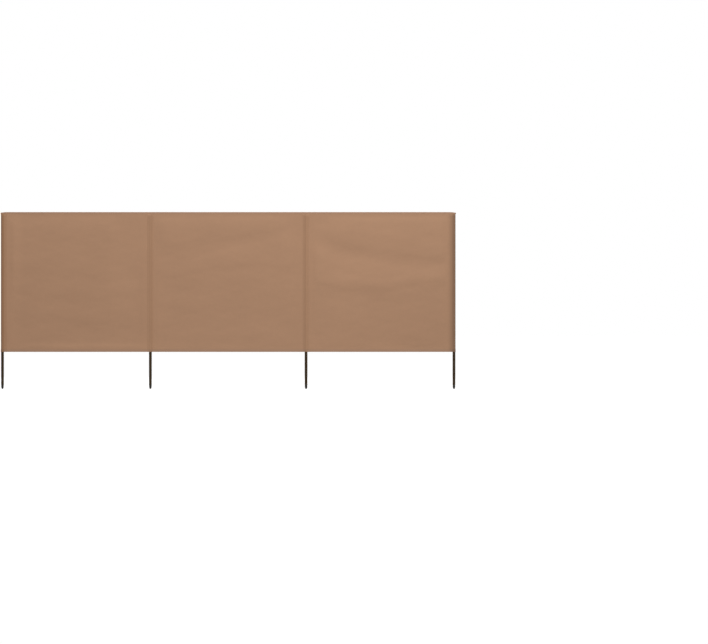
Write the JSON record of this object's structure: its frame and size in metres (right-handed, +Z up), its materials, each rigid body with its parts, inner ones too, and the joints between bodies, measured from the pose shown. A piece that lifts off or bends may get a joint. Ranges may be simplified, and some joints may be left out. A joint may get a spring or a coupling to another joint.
{
  "type": "beach windbreak",
  "caption": "Folding cloth beach windbreak: one long taupe screen in bays, held by steel poles in sewn pockets with bare pointed legs for sand.",
  "frame": {"origin": "centre of the blunt flat foot of pole 2, the second pole from the left seen from the front", "axes": "+X along the screen to the right seen from the front, -Y out of the front face, +Z up along the poles"},
  "size_m": [3.9896, 0.0316, 1.549],
  "materials": {
    "screen_cloth": "matte",
    "hem_cloth": "matte",
    "pole_coating": "satin",
    "tip_plastic": "matte"
  },
  "bodies": {
    "middle_bay": {"pole_2": "pole_coating", "pole_2_tip": "tip_plastic", "pole_2_pocket": "screen_cloth", "pole_2_pocket_hem": "hem_cloth", "pole_3": "pole_coating", "pole_3_tip": "tip_plastic", "pole_3_pocket": "screen_cloth", "pole_3_pocket_hem": "hem_cloth", "middle_panel": "screen_cloth", "middle_top_hem": "hem_cloth", "middle_bottom_hem": "hem_cloth"},
    "left_bay": {"pole_1": "pole_coating", "pole_1_tip": "tip_plastic", "left_sleeve": "screen_cloth", "left_sleeve_hem": "hem_cloth", "left_panel": "screen_cloth", "left_top_hem": "hem_cloth", "left_bottom_hem": "hem_cloth"},
    "right_bay": {"pole_4": "pole_coating", "pole_4_tip": "tip_plastic", "right_sleeve": "screen_cloth", "right_sleeve_hem": "hem_cloth", "right_panel": "screen_cloth", "right_top_hem": "hem_cloth", "right_bottom_hem": "hem_cloth"}
  },
  "joints": [
    {"name": "left_fold", "type": "hinge", "parent": "middle_bay", "child": "left_bay", "pos_m": [0, 0, 0], "axis": [0, 0, 1], "range_deg": [-120, 120]},
    {"name": "right_fold", "type": "hinge", "parent": "middle_bay", "child": "right_bay", "pos_m": [1.364, 0, 0], "axis": [0, 0, -1], "range_deg": [-120, 120]}
  ]
}
